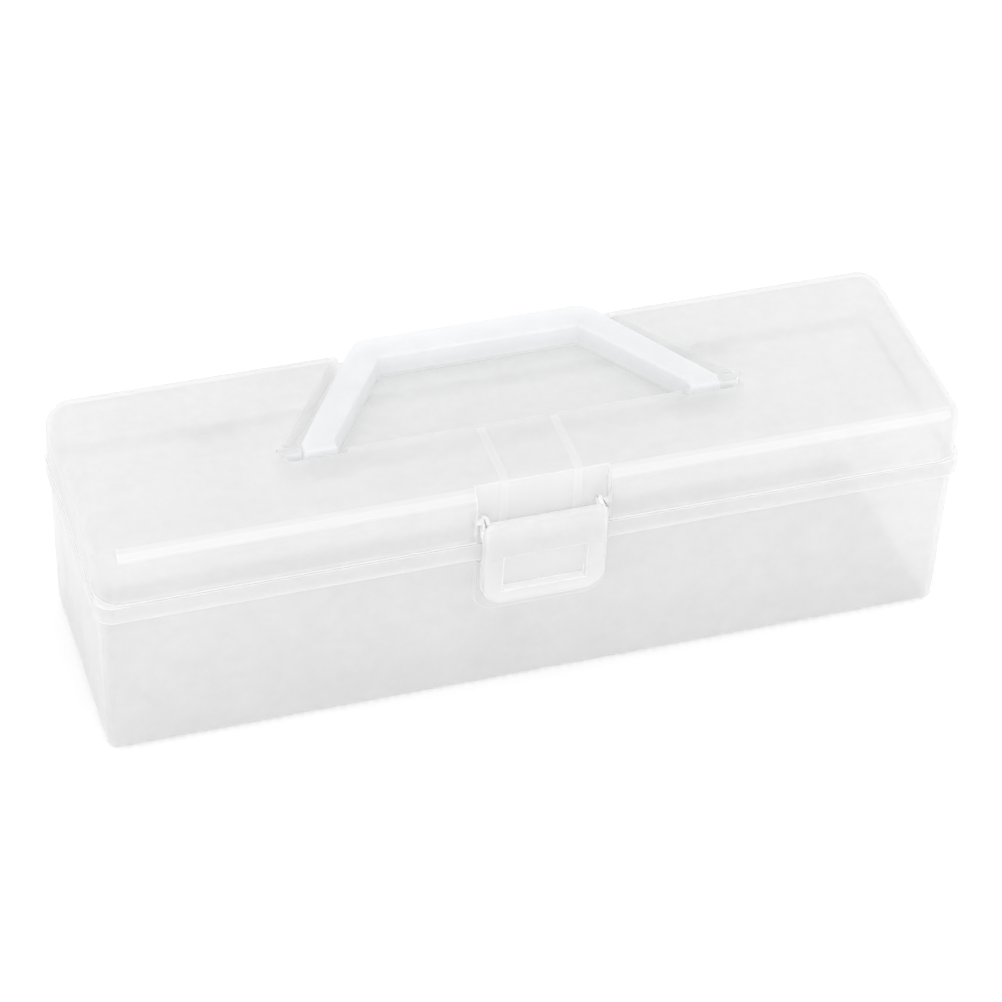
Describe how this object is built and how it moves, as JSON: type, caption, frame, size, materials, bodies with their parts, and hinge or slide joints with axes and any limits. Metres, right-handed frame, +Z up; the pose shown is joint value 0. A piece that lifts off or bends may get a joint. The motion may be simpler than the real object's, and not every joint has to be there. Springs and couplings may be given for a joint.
{
  "type": "art supply box",
  "caption": "Long translucent plastic carrying box with a rear-hinged lid, a folding carrying handle sunk into the lid and a hinged front latch.",
  "frame": {"origin": "centre of the flat underside that the box stands on", "axes": "+X along the box's length, -Y towards the latch, +Y towards the hinges, +Z up"},
  "size_m": [0.32, 0.1056, 0.0951],
  "materials": {
    "clear_polypropylene": "semi-clear, slightly frosted moulded polypropylene",
    "milky_polypropylene": "milky white, slightly translucent moulded polypropylene"
  },
  "bodies": {
    "tub": {"base_tub": "clear_polypropylene"},
    "lid": {"lid": "clear_polypropylene"},
    "handle": {"handle": "milky_polypropylene"},
    "latch": {"latch": "clear_polypropylene"}
  },
  "joints": [
    {"name": "lid_hinge", "type": "hinge", "parent": "tub", "child": "lid", "pos_m": [0, 0.0504, 0.06], "axis": [-1, 0, 0], "range_deg": [0, 110]},
    {"name": "handle_pivot", "type": "hinge", "parent": "lid", "child": "handle", "pos_m": [0, -0.0065, 0.0905], "axis": [1, 0, 0], "range_deg": [0, 100]},
    {"name": "latch_hinge", "type": "hinge", "parent": "lid", "child": "latch", "pos_m": [0, -0.044, 0.0784], "axis": [-1, 0, 0], "range_deg": [0, 90]}
  ]
}
